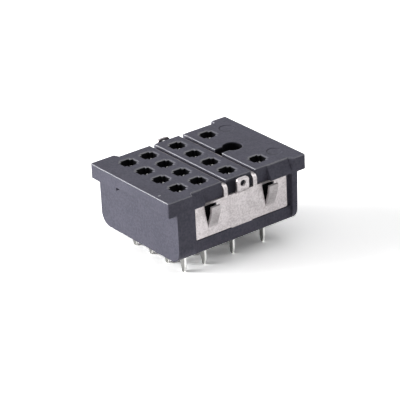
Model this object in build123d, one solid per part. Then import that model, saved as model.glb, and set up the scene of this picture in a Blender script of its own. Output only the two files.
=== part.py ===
from build123d import *
import os

# Relay grid
column_pitch = 4.4
row_a_to_b = 4.1
row_b_to_c = 5.85
row_c_to_d = 6.35
row_c_offset = 0.9

# Housing
flange_length = 27.9
flange_width = 21.2
flange_thickness = 2.55
flange_shift = 0.1
flange_corner_radius = 0.3
body_length = 24.5
body_height = 11.3
body_bottom_radius = 2.2
body_end_draft = 0.28
waist_left_gap = 0.22
waist_right_gap = 0.75
ear_reach = 0.98
ear_run = 0.4
ear_facet_drop = 1.6
ramp_spacing = 13.4
ramp_foot = 0.45
label_relief_length = 6.2
label_relief_height = 0.55
label_relief_shift = 0.5
top_edge_radius = 0.14

# Blade entries and the chambers below them
entry_across = 2.65
entry_arm = 1.7
entry_lead_in = 0.16
roof_thickness = 1.5
chamber_length = 3.1
chamber_width = 2.9

# Keyhole in the end block
key_diameter = 3.4
key_slot_width = 1.9
key_depth = 7.0

# Bracket
sheet_thickness = 0.4
bracket_clearance = 0.04
bracket_top_gap = 0.05
bracket_length = 18.85
bracket_depth = 5.75
bracket_corner_radius = 0.3
carrier_stub_length = 4.25
carrier_stub_depth = 0.14
strap_spacing = 6.0
strap_width = 0.78
strap_clearance = 0.05
strap_depth = 0.6
strap_bend_radius = 0.5

# Snap tongues
tongue_spacing = 11.8
tongue_width = 1.8
tongue_root_rise = 1.45
tongue_lean = 1.05
tongue_lean_height = 2.7
tongue_tip_height = 1.2
tongue_tip_lean = 0.12
tongue_slit = 0.65
tongue_strip = 0.34
tongue_pocket_depth = 0.9
tongue_bend_radius = 0.5

# Clip tabs
tab_width = 2.4
tab_jog = 0.72
tab_jog_height = 0.5
tab_height = 2.6
tab_corner_radius = 0.6
tab_hole_diameter = 1.1
tab_hole_drop = 0.95
tab_bend_radius = 0.45

# Base plate
base_length = 21.4
base_width = 16.0
base_thickness = 1.4
base_corner_radius = 1.0
base_clearance = 0.05

# Contacts
contact_thickness = 0.4
contact_width = 2.0
contact_height = 7.7
contact_gap = 0.4
contact_bow = 0.85
contact_flare = 0.4
contact_flare_height = 1.3
contact_bend_radius = 0.45
tail_width = 1.0
tail_length = 3.8
tail_point_width = 0.55
tail_point_length = 1.0
tail_clearance = 0.08

# Places that follow from the sizes above
row_a = row_c_offset - row_b_to_c - row_a_to_b
row_b = row_c_offset - row_b_to_c
row_c = row_c_offset
row_d = row_c_offset + row_c_to_d
outer_column = 1.5 * column_pitch
inner_column = 0.5 * column_pitch
all_columns = [outer_column, inner_column, -inner_column, -outer_column]
coil_columns = [outer_column, -outer_column]
entries = [(row, column) for row in (row_a, row_b, row_c) for column in all_columns]
entries += [(row_d, column) for column in coil_columns]

flange_bottom = body_height - flange_thickness
half_waist = flange_width / 2 - ear_reach
waist_left = row_c - bracket_length / 2 - waist_left_gap
waist_right = row_c + bracket_length / 2 + waist_right_gap
bracket_inside = half_waist + bracket_clearance
bracket_outside = bracket_inside + sheet_thickness
bracket_top = flange_bottom - bracket_top_gap
bracket_bottom = bracket_top - bracket_depth
groove_width = strap_width + 2 * strap_clearance
groove_depth = strap_depth + sheet_thickness
strap_places = [row_c - strap_spacing / 2, row_c + strap_spacing / 2]
tongue_places = [row_c - tongue_spacing / 2, row_c + tongue_spacing / 2]
tongue_root_height = bracket_bottom + tongue_root_rise
window_top = bracket_top - tongue_strip


def box_between(x0, x1, y0, y1, z0, z1):
    """A block between two corners."""
    block = Box(x1 - x0, y1 - y0, z1 - z0)
    return Pos((x0 + x1) / 2, (y0 + y1) / 2, (z0 + z1) / 2) * block


def plus_outline(across, arm):
    """A square with its four corners stepped in."""
    return Rectangle(across, arm) + Rectangle(arm, across)


def entry_cut():
    """The hole for one relay blade, with its lead-in, hung from the top face."""
    straight = extrude(plus_outline(entry_across, entry_arm), -roof_thickness)
    mouth = plus_outline(entry_across + 2 * entry_lead_in, entry_arm + 2 * entry_lead_in)
    throat = Pos(0, 0, -entry_lead_in) * plus_outline(entry_across, entry_arm)
    return straight + loft([mouth.face(), throat.face()])


def side_cut():
    """What is cut from the +Y side: the recess of the flange, the bracket's seat and the rim below it."""
    outside = half_waist + 2 * ear_reach
    outline = Polyline(
        (waist_left, half_waist),
        (waist_right, half_waist),
        (waist_right, outside),
        (waist_left - 2 * ear_run, outside),
        close=True,
    )
    seat_bottom = bracket_bottom - carrier_stub_depth - bracket_clearance
    cut = Pos(0, 0, flange_bottom) * extrude(make_face(outline), flange_thickness)
    cut += box_between(waist_left, waist_right, half_waist, outside, seat_bottom, flange_bottom)
    cut += box_between(waist_left, waist_right, bracket_outside, outside, 0, seat_bottom)
    return cut


def side_ramps():
    """The two ends of the recess on the +Y side, which slope out until they are level with the ears."""
    profile = Polyline(
        (half_waist - top_edge_radius, flange_bottom),
        (half_waist - top_edge_radius, body_height - top_edge_radius),
        (half_waist, body_height - top_edge_radius),
        (half_waist + ear_reach, flange_bottom + ramp_foot),
        (half_waist + ear_reach, flange_bottom),
        close=True,
    )
    section = make_face(profile)
    left_end = waist_left - ear_run
    left = extrude(Plane.YZ.offset(left_end) * section, -ramp_spacing / 2 - left_end)
    right = extrude(Plane.YZ.offset(ramp_spacing / 2) * section, waist_right - ramp_spacing / 2)
    return left + right


def ear_facet():
    """The slanted facet cut from the inner corner of the ear at +X and -Y."""
    corner = box_between(
        waist_right,
        waist_right + 2 * ear_reach,
        -half_waist - 2 * ear_reach,
        -half_waist,
        flange_bottom,
        body_height,
    )
    slope = Plane(
        origin=(waist_right, -half_waist, body_height),
        x_dir=(1, -1, 0),
        z_dir=(-ear_facet_drop, -ear_facet_drop, ear_reach),
    )
    return split(corner, bisect_by=slope, keep=Keep.TOP)


def housing():
    """The moulded insulating body with its flange."""
    section = Pos(0, flange_bottom / 2) * Rectangle(flange_width, flange_bottom)
    low_corners = section.vertices().group_by(Axis.Y)[0]
    section = fillet(low_corners, body_bottom_radius)
    half_body = body_length / 2
    shell = extrude(Plane.YZ * section, half_body, both=True)

    # Draft on the keyhole end, and the flange
    wedge = Polyline(
        (half_body, flange_bottom),
        (half_body, 0),
        (half_body - body_end_draft, 0),
        close=True,
    )
    shell -= extrude(Plane.XZ * make_face(wedge), flange_width, both=True)
    flange = RectangleRounded(flange_length, flange_width, flange_corner_radius)
    shell += Pos(flange_shift, 0, flange_bottom) * extrude(flange, flange_thickness)

    # Long recesses with the bracket's seats
    side = side_cut()
    shell -= side
    shell -= mirror(side, Plane.XZ)

    # Two cross grooves for the bracket's straps, rounded where the straps turn down
    groove_floor = body_height - groove_depth
    tolerance = 0.01
    for x in strap_places:
        groove = Box(groove_width, 2 * flange_width, groove_depth)
        shell -= Pos(x, 0, body_height - groove_depth / 2) * groove
    lips = shell.edges().filter_by(Axis.X)
    lips = lips.filter_by_position(Axis.Z, groove_floor - tolerance, groove_floor + tolerance)
    shell = fillet(lips, strap_bend_radius)
    rims = shell.edges().filter_by_position(Axis.Z, body_height - tolerance, body_height + tolerance)
    shell = fillet(rims, top_edge_radius)

    # Ends of the long recesses
    ramps = side_ramps()
    shell += ramps
    shell += mirror(ramps, Plane.XZ)
    shell -= ear_facet()

    # Shallow relief under the flange on the marking side
    shell -= box_between(
        flange_shift - flange_length / 2,
        -half_body,
        label_relief_shift - label_relief_length / 2,
        label_relief_shift + label_relief_length / 2,
        flange_bottom,
        flange_bottom + label_relief_height,
    )

    # Pockets that let the snap tongues flex
    for x in tongue_places:
        pocket = box_between(
            x - tongue_width / 2 - tongue_slit,
            x + tongue_width / 2 + strap_clearance,
            half_waist - tongue_pocket_depth,
            flange_width,
            tongue_root_height,
            window_top,
        )
        shell -= pocket
        shell -= mirror(pocket, Plane.XZ)

    # Keyhole, open to the groove beside it
    key_floor = body_height - key_depth
    shell -= Pos(row_d, 0, key_floor + key_depth / 2) * Cylinder(key_diameter / 2, key_depth)
    shell -= box_between(
        strap_places[1], row_d, -key_slot_width / 2, key_slot_width / 2, key_floor, body_height
    )

    # Blade entries, contact chambers and the seat of the base plate
    cut = entry_cut()
    chamber_top = body_height - roof_thickness
    for x, y in entries:
        shell -= Pos(x, y, body_height) * cut
        shell -= box_between(
            x - chamber_length / 2,
            x + chamber_length / 2,
            y - chamber_width / 2,
            y + chamber_width / 2,
            base_thickness,
            chamber_top,
        )
    seat_outline = RectangleRounded(
        base_length + 2 * base_clearance,
        base_width + 2 * base_clearance,
        base_corner_radius + base_clearance,
    )
    shell -= extrude(seat_outline, base_thickness)
    return shell


def tail_place(x):
    """The middle of a contact's solder tail, for the entry at x."""
    return x + (contact_gap + contact_thickness) / 2


def base_plate():
    """The plate that closes the housing from below and holds the tails in place."""
    plate = extrude(RectangleRounded(base_length, base_width, base_corner_radius), base_thickness)
    for x, y in entries:
        slot = Rectangle(contact_thickness + 2 * tail_clearance, tail_width + 2 * tail_clearance)
        plate -= Pos(tail_place(x), y, 0) * extrude(slot, base_thickness)
    return plate


def contact():
    """One stamped contact: two leaves from a folded foot, and a solder tail."""
    fixed = tail_place(0)
    spring = -fixed
    bow = spring - contact_bow / 2
    foot = base_thickness + contact_thickness / 2
    top = base_thickness + contact_height
    line_end = top + contact_thickness
    pinch = top - contact_flare_height
    line = FilletPolyline(
        (spring - contact_flare, line_end),
        (spring, pinch),
        (bow, (foot + pinch) / 2),
        (bow, foot),
        (fixed, foot),
        (fixed, pinch),
        (fixed + contact_flare, line_end),
        radius=contact_bend_radius,
    )
    strip = make_face(offset(line, contact_thickness / 2, side=Side.BOTH))
    leaves = extrude(Plane.XZ * strip, contact_width / 2, both=True)
    leaves = split(leaves, bisect_by=Plane.XY.offset(top), keep=Keep.BOTTOM)
    tail_outline = Polyline(
        (-tail_width / 2, foot),
        (tail_width / 2, foot),
        (tail_width / 2, -tail_length + tail_point_length),
        (tail_point_width / 2, -tail_length),
        (-tail_point_width / 2, -tail_length),
        (-tail_width / 2, -tail_length + tail_point_length),
        close=True,
    )
    tail = extrude(Plane.YZ.offset(fixed) * make_face(tail_outline), contact_thickness / 2, both=True)
    return leaves + tail


def bent_strip(points, radius, middle, width):
    """A strip of sheet, its inner face bent along points of the YZ plane, centred on x = middle."""
    inner_face = FilletPolyline(*points, radius=radius)
    section = make_face(offset(inner_face, sheet_thickness, side=Side.RIGHT))
    return Pos(middle, 0, 0) * extrude(Plane.YZ * section, width / 2, both=True)


def side_plate():
    """One side of the bracket, on the +Y side, with its tongues and its clip tab."""
    outline = Pos(row_c, (bracket_bottom + bracket_top) / 2) * RectangleRounded(
        bracket_length, bracket_depth, bracket_corner_radius
    )
    outline += Pos(row_c, bracket_bottom) * Rectangle(carrier_stub_length, 2 * carrier_stub_depth)
    for x in tongue_places:
        left = x - tongue_width / 2
        right = x + tongue_width / 2
        window = Polyline(
            (left - tongue_slit, window_top),
            (right, window_top),
            (right, tongue_root_height),
            (left, tongue_root_height),
            close=True,
        )
        outline -= make_face(window)
    plate = Pos(0, bracket_outside, 0) * extrude(Plane.XZ * outline, sheet_thickness)

    lean_top = tongue_root_height + tongue_lean_height
    tongue_line = [
        (bracket_inside, tongue_root_height - 2 * tongue_bend_radius),
        (bracket_inside, tongue_root_height),
        (bracket_inside + tongue_lean, lean_top),
        (bracket_inside + tongue_lean + tongue_tip_lean, lean_top + tongue_tip_height),
    ]
    for x in tongue_places:
        plate += bent_strip(tongue_line, tongue_bend_radius, x, tongue_width)

    tab_top = bracket_top + tab_height
    tab_line = [
        (bracket_inside, bracket_top - 2 * tab_bend_radius),
        (bracket_inside, bracket_top),
        (bracket_inside + tab_jog, bracket_top + tab_jog_height),
        (bracket_inside + tab_jog, tab_top),
    ]
    tab = bent_strip(tab_line, tab_bend_radius, row_c, tab_width)
    top_corners = tab.edges().filter_by(Axis.Y).group_by(Axis.Z)[-1]
    tab = fillet(top_corners, tab_corner_radius)
    hole = Plane.XZ * Pos(row_c, tab_top - tab_hole_drop) * Circle(tab_hole_diameter / 2)
    tab -= extrude(hole, 2 * flange_width, both=True)
    return plate + tab


def bracket():
    """The sprung sheet bracket: two side plates joined by two straps."""
    plate = side_plate()
    frame = plate + mirror(plate, Plane.XZ)
    strap_top = body_height - strap_depth
    low = bracket_top - sheet_thickness
    outer = Pos(0, (low + strap_top) / 2) * Rectangle(2 * bracket_outside, strap_top - low)
    outer = fillet(outer.vertices().group_by(Axis.Y)[-1], strap_bend_radius + sheet_thickness)
    inner_top = strap_top - sheet_thickness
    inner = Pos(0, (low + inner_top) / 2) * Rectangle(2 * bracket_inside, inner_top - low)
    inner = fillet(inner.vertices().group_by(Axis.Y)[-1], strap_bend_radius)
    for x in strap_places:
        frame += Pos(x, 0, 0) * extrude(Plane.YZ * (outer - inner), strap_width / 2, both=True)
    return frame


os.makedirs("parts", exist_ok=True)
export_step(housing(), "parts/housing.step")
export_step(base_plate(), "parts/base_plate.step")
export_step(bracket(), "parts/bracket.step")
one_contact = contact()
for number, (x, y) in enumerate(entries, start=1):
    export_step(Pos(x, y, 0) * one_contact, f"parts/contact_{number}.step")
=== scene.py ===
import math

import bmesh
import bpy
from mathutils import Matrix, Quaternion, Vector


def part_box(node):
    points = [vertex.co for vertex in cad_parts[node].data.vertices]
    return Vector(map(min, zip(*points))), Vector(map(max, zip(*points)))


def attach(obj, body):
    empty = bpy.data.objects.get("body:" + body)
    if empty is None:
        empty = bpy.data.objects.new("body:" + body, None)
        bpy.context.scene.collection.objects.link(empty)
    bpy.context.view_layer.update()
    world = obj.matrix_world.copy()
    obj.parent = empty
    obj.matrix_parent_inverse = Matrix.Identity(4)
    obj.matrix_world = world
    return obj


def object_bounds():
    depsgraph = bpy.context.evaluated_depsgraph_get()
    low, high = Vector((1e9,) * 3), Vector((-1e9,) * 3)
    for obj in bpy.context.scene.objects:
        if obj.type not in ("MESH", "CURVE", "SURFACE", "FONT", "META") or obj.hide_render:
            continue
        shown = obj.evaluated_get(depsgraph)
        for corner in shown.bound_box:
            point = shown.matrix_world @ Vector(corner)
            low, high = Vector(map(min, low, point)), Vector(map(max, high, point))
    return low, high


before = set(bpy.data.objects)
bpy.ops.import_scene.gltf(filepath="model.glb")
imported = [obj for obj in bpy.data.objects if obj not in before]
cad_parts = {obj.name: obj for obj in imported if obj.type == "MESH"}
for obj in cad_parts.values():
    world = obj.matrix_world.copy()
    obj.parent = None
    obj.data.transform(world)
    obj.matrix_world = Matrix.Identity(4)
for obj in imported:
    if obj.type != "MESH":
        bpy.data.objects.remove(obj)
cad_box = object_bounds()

# Housing: one moulding of glass-filled nylon, dark grey with a faint violet cast, satin from its tool.
# The ejector pins leave shallow discs on its top face, and a small pale dash is painted on it at the
# marking end.
# It carries everything else: the contacts stand in its chambers, and the bracket grips its sides.
MM = 0.001


class Reading:
    """A socket, on which arithmetic adds Math nodes."""

    def __init__(self, nodes, socket):
        self.nodes = nodes
        self.socket = socket

    def maths(self, operation, first, second=0.0):
        return self.nodes.add("ShaderNodeMath", {"operation": operation}, {0: first, 1: second})

    def __add__(self, other):
        return self.maths("ADD", self, other)

    def __radd__(self, other):
        return self.maths("ADD", other, self)

    def __sub__(self, other):
        return self.maths("SUBTRACT", self, other)

    def __rsub__(self, other):
        return self.maths("SUBTRACT", other, self)

    def __mul__(self, other):
        return self.maths("MULTIPLY", self, other)

    def __rmul__(self, other):
        return self.maths("MULTIPLY", other, self)

    def __abs__(self):
        return self.maths("ABSOLUTE", self)

    def __pow__(self, other):
        return self.maths("POWER", self, other)


class Nodes:
    """A tree of nodes, to which each is added in the same way."""

    def __init__(self, tree):
        self.tree = tree

    def add(self, kind, settings, values, output=0):
        """Adds a node: its settings first, then the values or links of its sockets."""
        made = self.tree.nodes.new(kind)
        for name, value in settings.items():
            setattr(made, name, value)
        for name, value in values.items():
            if isinstance(value, Reading):
                self.tree.links.new(value.socket, made.inputs[name])
            else:
                made.inputs[name].default_value = value
        return Reading(self, made.outputs[output])


class Finish(Nodes):
    """A material for one kind of surface."""

    def __init__(self, name, fixed):
        self.material = bpy.data.materials.new(name)
        self.material.use_nodes = True
        super().__init__(self.material.node_tree)
        self.shader = self.tree.nodes["Principled BSDF"]
        for socket_name, value in fixed.items():
            self.shader.inputs[socket_name].default_value = value
        # A reading of the place on the piece, in millimetres.
        metres = self.add("ShaderNodeTexCoord", {}, {}, "Object")
        to_mm = {0: metres, "Scale": 1 / MM}
        self.place = self.add("ShaderNodeVectorMath", {"operation": "SCALE"}, to_mm)

    def parts(self, vector):
        """The X, Y and Z of a vector."""
        first = self.add("ShaderNodeSeparateXYZ", {}, {0: vector})
        return [Reading(self, socket) for socket in first.socket.node.outputs]

    def noise(self, per_mm, detail, stretch=(1, 1, 1)):
        """Cloudy variation from 0 to 1, with so many lumps to a millimetre, or drawn out along an axis."""
        stretched = {0: self.place, 1: stretch}
        where = self.add("ShaderNodeVectorMath", {"operation": "MULTIPLY"}, stretched)
        return self.add("ShaderNodeTexNoise", {}, {"Vector": where, "Scale": per_mm, "Detail": detail})

    def ease(self, value, low, high):
        """0 below low, 1 above high, and smooth between."""
        settings = {"interpolation_type": "SMOOTHSTEP"}
        limits = {"Value": value, "From Min": low, "From Max": high}
        return self.add("ShaderNodeMapRange", settings, limits)

    def within(self, value, border, soft):
        """1 up to the border and 0 past it, with a soft band of this width over the border."""
        return 1 - self.ease(value, border - soft / 2, border + soft / 2)

    def blotches(self, coarse, fine, low, high):
        """Coarse and fine variation together, drawn apart until they reach from 0 to 1."""
        coarse_share = 0.35
        return self.ease(coarse * coarse_share + fine * (1 - coarse_share), low, high)

    def blend(self, mask, first, second):
        """One colour where the mask is 0 and another where it is 1."""
        return self.add("ShaderNodeMix", {"data_type": "RGBA"}, {0: mask, 6: first, 7: second}, 2)

    def bump(self, height, depth_mm, under=None):
        """A relief of this depth, over another one where there is one."""
        values = {"Height": height, "Distance": depth_mm * MM}
        if under is not None:
            values["Normal"] = under
        return self.add("ShaderNodeBump", {}, values)

    def feed(self, values):
        """Links what changes over the surface to the shader's own sockets."""
        for socket_name, value in values.items():
            self.tree.links.new(value.socket, self.shader.inputs[socket_name])

    def coat(self, *pieces):
        """Puts the finish on CAD pieces."""
        for piece in pieces:
            for slot in piece.material_slots:
                slot.material = self.material


top_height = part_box("housing")[1].z / MM

nylon = Finish("moulded_nylon", {"Specular IOR Level": 0.07, "Coat Roughness": 0.22, "Coat IOR": 1.75})
along, across, upward = nylon.parts(nylon.place)
cloud = nylon.noise(0.28, 3)
speckle = nylon.noise(2.6, 4)
grain = nylon.noise(7, 3)

# Its moulded corners are burnished by handling, but only round the top face.
edge_radius = 0.16
rounded = nylon.add("ShaderNodeBevel", {"samples": 8}, {"Radius": edge_radius * MM})
lean = nylon.parts(rounded)[2]
burnished = nylon.ease(lean, 0.08, 0.3) * nylon.within(lean, 0.96, 0.06)
burnished = burnished * nylon.ease(upward, top_height - 2 * edge_radius, top_height - edge_radius)

# Painted shade: the walls inside the entries, below the top face, are painted nearly black for the dark
# inside the chambers.
# The grooves' walls are left out of this painted shade.
cores_half_length, cores_half_width, cores_soft = 11.9, 9.4, 0.2
groove_places, groove_border, groove_soft = [-2.1, 3.9], 0.54, 0.1
painted_entry_shade = nylon.ease(top_height - upward, 0.03, 0.3)
painted_entry_shade = painted_entry_shade * nylon.within(abs(along), cores_half_length, cores_soft)
painted_entry_shade = painted_entry_shade * nylon.within(abs(across), cores_half_width, cores_soft)
beside_groove = 0.0
for groove_x in groove_places:
    beside_groove = beside_groove + nylon.within(abs(along - groove_x), groove_border, groove_soft)
painted_entry_shade = painted_entry_shade * (1 - beside_groove)

# Painted shade also darkens the wall behind each clip tab, between the straps, for the shadow of the tab
# and straps.
tab_wall, tab_wall_reach, tab_wall_soft = 9.62, 0.08, 0.08
tab_middle, tab_half_width, tab_soft = 0.9, 2.56, 0.1
painted_tab_shade = nylon.within(abs(abs(across) - tab_wall), tab_wall_reach, tab_wall_soft)
painted_tab_shade = painted_tab_shade * nylon.within(abs(along - tab_middle), tab_half_width, tab_soft)
painted_tab_shade = painted_tab_shade * nylon.ease(top_height - upward, 0.15, 0.6)
tab_shade_share = 0.65

# The marks of the ejector pins and a small pale dash lie on the top face.
ejector_places, ejector_radius, ejector_soft = [(11.1, 6.4), (11.0, -6.3)], 1.25, 0.24
dash_x, dash_y, dash_squash, dash_radius, dash_soft = -13.0, -7.06, 0.45, 0.12, 0.08
on_top = nylon.ease(upward, top_height - 0.06, top_height - 0.02)
ejector_discs = 0.0
for centre_x, centre_y in ejector_places:
    reach = ((along - centre_x) ** 2 + (across - centre_y) ** 2) ** 0.5
    ejector_discs = ejector_discs + nylon.within(reach, ejector_radius, ejector_soft)
ejector_discs = ejector_discs * on_top
dash_reach = (((along - dash_x) * dash_squash) ** 2 + (across - dash_y) ** 2) ** 0.5
pale_dash = nylon.within(dash_reach, dash_radius, dash_soft) * on_top

dark_nylon, pale_nylon = (0.077, 0.076, 0.1, 1), (0.105, 0.103, 0.134, 1)
# The near-black on the next line is the painted shade inside the entries and behind the clip tabs.
dash_nylon, shade_black_nylon = (0.45, 0.45, 0.47, 1), (0.009, 0.009, 0.011, 1)
disc_depth, grain_depth = 0.35, 0.03
skin = nylon.blend(nylon.blotches(cloud, speckle, 0.36, 0.64), dark_nylon, pale_nylon)
skin = nylon.blend(pale_dash, skin, dash_nylon)
nylon.feed(
    {
        "Base Color": nylon.blend(painted_entry_shade + painted_tab_shade * tab_shade_share, skin, shade_black_nylon),
        "Roughness": cloud * 0.14 + speckle * 0.08 + 0.36,
        "Coat Weight": burnished * (beside_groove * 0.2 + 0.8),
        "Normal": nylon.bump(grain, grain_depth, nylon.bump(0 - ejector_discs, disc_depth, rounded)),
    }
)
nylon.coat(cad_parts["housing"])

# Base plate: a flat black moulding that closes the housing from below.
# The fourteen tails come down through its slots, and it is snapped in after the contacts.
base_nylon = Finish("base_nylon", {"Specular IOR Level": 0.45})
cloud = base_nylon.noise(0.4, 3)
grain = base_nylon.noise(6, 3)
dark_base, pale_base = (0.022, 0.022, 0.026, 1), (0.042, 0.041, 0.047, 1)
base_nylon.feed(
    {
        "Base Color": base_nylon.blend(cloud, dark_base, pale_base),
        "Roughness": grain * 0.2 + 0.45,
        "Normal": base_nylon.bump(grain, 0.012),
    }
)
base_nylon.coat(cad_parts["base_plate"])

# Contacts: fourteen stampings of thin copper alloy with bright tin plate.
# Two leaves fold up from each foot to hold a relay's blade, and the tail goes down to the board.
# Their broad faces, which face along X, are painted dark grey as a painted shade; the rolling lines on
# them and the bright narrow cut edges are the tin's own.
tin = Finish("tin_plate", {"Metallic": 1.0})
cloud = tin.noise(1.2, 3)
rolling_lines = tin.noise(3, 3, (5, 5, 0.7))
facing = tin.add("ShaderNodeNewGeometry", {}, {}, "True Normal")
shaded_broad_faces = tin.ease(abs(tin.parts(facing)[0]), 0.85, 0.95)
# Of the colours on the next line, the dark and pale tin are the painted shade on the broad faces.
cut_tin, dark_shaded_tin, pale_shaded_tin = (0.95, 0.95, 0.93, 1), (0.2, 0.2, 0.195, 1), (0.36, 0.36, 0.345, 1)
shaded_tin = tin.blend(rolling_lines, dark_shaded_tin, pale_shaded_tin)
tin.feed(
    {
        "Base Color": tin.blend(shaded_broad_faces, cut_tin, shaded_tin),
        "Roughness": rolling_lines * 0.16 + cloud * 0.08 + 0.2 + (1 - shaded_broad_faces) * 0.15,
        "Normal": tin.bump(rolling_lines, 0.008),
    }
)
contact_names = [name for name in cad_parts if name.startswith("contact")]
for name in contact_names:
    tin.coat(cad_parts[name])

# Leaf ends: each leaf goes on up into its entry, narrowed to pass between the entry's stepped corners.
# They are stamped in one with the leaf. Their rounded tips are the bright points down in the entries.
leaf_sheet, leaf_end_width, leaf_end_rise, leaf_end_sunk = 0.35, 1.6, 1.15, 0.1
leaf_end_length = leaf_end_rise + leaf_end_sunk
leaf_offset, flare_reach = 0.706, 0.911
flare_angle = math.radians(13.2)
tip_radius = 0.16
ends_mesh = bpy.data.meshes.new("leaf_ends")
ends = bmesh.new()
for name in contact_names:
    low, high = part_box(name)
    entry_middle = Vector((high.x - flare_reach * MM, (low.y + high.y) / 2, high.z))
    for side in (-1, 1):
        made = bmesh.ops.create_cube(ends, size=1.0)["verts"]
        bmesh.ops.translate(ends, verts=made, vec=(0, 0, 0.5))
        bmesh.ops.scale(ends, verts=made, vec=(leaf_sheet * MM, leaf_end_width * MM, leaf_end_length * MM))
        bmesh.ops.translate(ends, verts=made, vec=(0, 0, -leaf_end_sunk * MM))
        tilt = Matrix.Rotation(side * flare_angle, 3, "Y")
        bmesh.ops.rotate(ends, verts=made, cent=(0, 0, 0), matrix=tilt)
        leaf_middle = entry_middle + Vector((side * leaf_offset * MM, 0, 0))
        bmesh.ops.translate(ends, verts=made, vec=leaf_middle)
tips_above = high.z + 0.8 * leaf_end_rise * MM
tips = [edge for edge in ends.edges if min(vert.co.z for vert in edge.verts) > tips_above]
rounding = {"offset": tip_radius * MM, "offset_type": "OFFSET", "segments": 3, "profile": 0.5}
bmesh.ops.bevel(ends, geom=tips, affect="EDGES", material=-1, **rounding)
ends.to_mesh(ends_mesh)
ends.free()
ends_mesh.materials.append(tin.material)
leaf_ends = bpy.data.objects.new("leaf_ends", ends_mesh)
bpy.context.scene.collection.objects.link(leaf_ends)
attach(leaf_ends, "root")

# Bracket: one blank of spring steel, rolled along the socket, pierced, bent and then plated satin.
# The straps and the sheared edges are rougher than the side plates, and the bent tongues are painted
# darker, a painted shade.
# Its two straps lie in the grooves of the housing, and the tongues snap behind the edge of a panel.
steel = Finish("plated_spring_steel", {"Metallic": 1.0})
cloud = steel.noise(0.5, 3)
rolling_lines = steel.noise(2.2, 4, (0.35, 6, 6))
pits = steel.noise(3.2, 4)
facing = steel.add("ShaderNodeNewGeometry", {}, {}, "True Normal")
sheared = 1 - steel.ease(abs(steel.parts(facing)[1]), 0.25, 0.5)
along, across, upward = steel.parts(steel.place)
plate_face, tongue_border, tongue_soft = 10.06, 8.55, 0.3
# Painted shade: the bent tongues, outside the plate face and below the tongue border, are mixed toward a
# dark grey.
shaded_tongues = steel.ease(abs(across), plate_face + 0.04, plate_face + 0.3)
shaded_tongues = shaded_tongues * steel.within(upward, tongue_border, tongue_soft)
tongue_shade_share = 0.4
dark_plating, pale_plating = (0.392, 0.363, 0.369, 1), (0.553, 0.52, 0.527, 1)
shaded_tongue_plating = (0.2, 0.19, 0.19, 1)
plating = steel.blend(steel.blotches(cloud, pits, 0.36, 0.62), dark_plating, pale_plating)
steel.feed(
    {
        "Base Color": steel.blend(shaded_tongues * tongue_shade_share, plating, shaded_tongue_plating),
        "Roughness": rolling_lines * 0.12 + cloud * 0.06 + sheared * 0.1 + 0.27,
        "Normal": steel.bump(rolling_lines * 0.5 + pits * 0.5, 0.02),
    }
)
steel.coat(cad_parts["bracket"])

# Floor: a sheet of white card under the tips of the tails, which keeps the socket's soft shadow.
# The camera and the steel see the card about twice as bright as it is for the light on the socket.


def shown(nodes):
    """1 where seen directly, in a reflection or through glass, and 0 where it lights a surface."""
    seen = 0.0
    for ray in ("Is Camera Ray", "Is Glossy Ray", "Is Transmission Ray"):
        seen = seen + nodes.add("ShaderNodeLightPath", {}, {}, ray)
    return seen


floor_half = 3.0
card_as_lit, card_as_seen = (0.93, 0.93, 0.93, 1), (2.0, 2.0, 2.0, 1)
floor_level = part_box("contact_1")[0].z
card = Finish("white_card", {"Roughness": 0.7, "Specular IOR Level": 0.2})
card.feed({"Base Color": card.blend(shown(card), card_as_lit, card_as_seen)})
floor_mesh = bpy.data.meshes.new("floor")
shape = bmesh.new()
bmesh.ops.create_grid(shape, x_segments=1, y_segments=1, size=floor_half)
bmesh.ops.translate(shape, verts=shape.verts, vec=(0, 0, floor_level))
shape.to_mesh(floor_mesh)
shape.free()
floor_mesh.materials.append(card.material)
floor = bpy.data.objects.new("floor", floor_mesh)
bpy.context.scene.collection.objects.link(floor)

# Light: two low soft boxes beyond the marking face, a wide one overhead, a weak one off the keyhole end.
# The room round them is dim for the socket, and plain white to the camera and in reflections.
socket_middle = (cad_box[0] + cad_box[1]) / 2
lamp_distance = 0.5
room_strength, backdrop_strength = 0.085, 1.0
white = (1, 1, 1, 1)


def direction(azimuth, elevation):
    """The direction from the socket to something seen at these angles, in degrees."""
    turn, rise = math.radians(azimuth), math.radians(elevation)
    return Vector((math.sin(turn) * math.cos(rise), -math.cos(turn) * math.cos(rise), math.sin(rise)))


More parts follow.
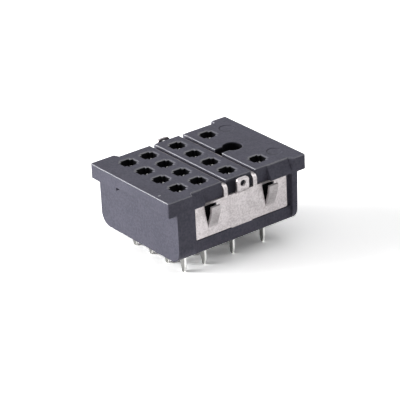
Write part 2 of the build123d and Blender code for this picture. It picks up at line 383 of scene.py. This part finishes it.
def soft_box(name, azimuth, elevation, width, watts):
    """A square lamp that faces the socket."""
    lamp = bpy.data.lights.new(name, "AREA")
    lamp.shape = "SQUARE"
    lamp.size = width
    lamp.energy = watts
    stand = bpy.data.objects.new(name, lamp)
    towards = direction(azimuth, elevation)
    stand.location = socket_middle + towards * lamp_distance
    stand.rotation_mode = "QUATERNION"
    stand.rotation_quaternion = towards.to_track_quat("Z", "Y")
    bpy.context.scene.collection.objects.link(stand)


soft_box("low_box", azimuth=-127, elevation=6, width=0.22, watts=1.2)
soft_box("mid_box", azimuth=-127, elevation=16, width=0.3, watts=3.0)
soft_box("top_box", azimuth=0, elevation=85, width=0.8, watts=1.3)
soft_box("front_box", azimuth=60, elevation=30, width=0.4, watts=0.48)

world = bpy.data.worlds.new("pale_room")
world.use_nodes = True
sky = Nodes(world.node_tree)
room = sky.add("ShaderNodeBackground", {}, {"Color": white, "Strength": room_strength})
backdrop = sky.add("ShaderNodeBackground", {}, {"Color": white, "Strength": backdrop_strength})
either = sky.add("ShaderNodeMixShader", {}, {0: shown(sky), 1: room, 2: backdrop})
world.node_tree.links.new(either.socket, world.node_tree.nodes["World Output"].inputs["Surface"])
bpy.context.scene.world = world
bpy.context.scene.view_settings.view_transform = "Standard"

# Camera: a long lens that looks down over the corner between the marking face and one steel side.
# It stands as near as the photograph's did, so that the far edges of the socket draw together as there.
camera_azimuth, camera_elevation, camera_roll = -36.42, 25.41, -2.8
camera_distance = 0.3825
focal_length = 209.8
nearest_seen = 0.01
aim = Vector((0.00013, 0, 0.00381))
lens = bpy.data.cameras.new("camera")
lens.lens = focal_length
lens.clip_start = nearest_seen
camera = bpy.data.objects.new("camera", lens)
towards = direction(camera_azimuth, camera_elevation)
camera.location = aim + towards * camera_distance
camera.rotation_mode = "QUATERNION"
roll = Quaternion((0, 0, 1), math.radians(camera_roll))
camera.rotation_quaternion = towards.to_track_quat("Z", "Y") @ roll
bpy.context.scene.collection.objects.link(camera)
bpy.context.scene.camera = camera
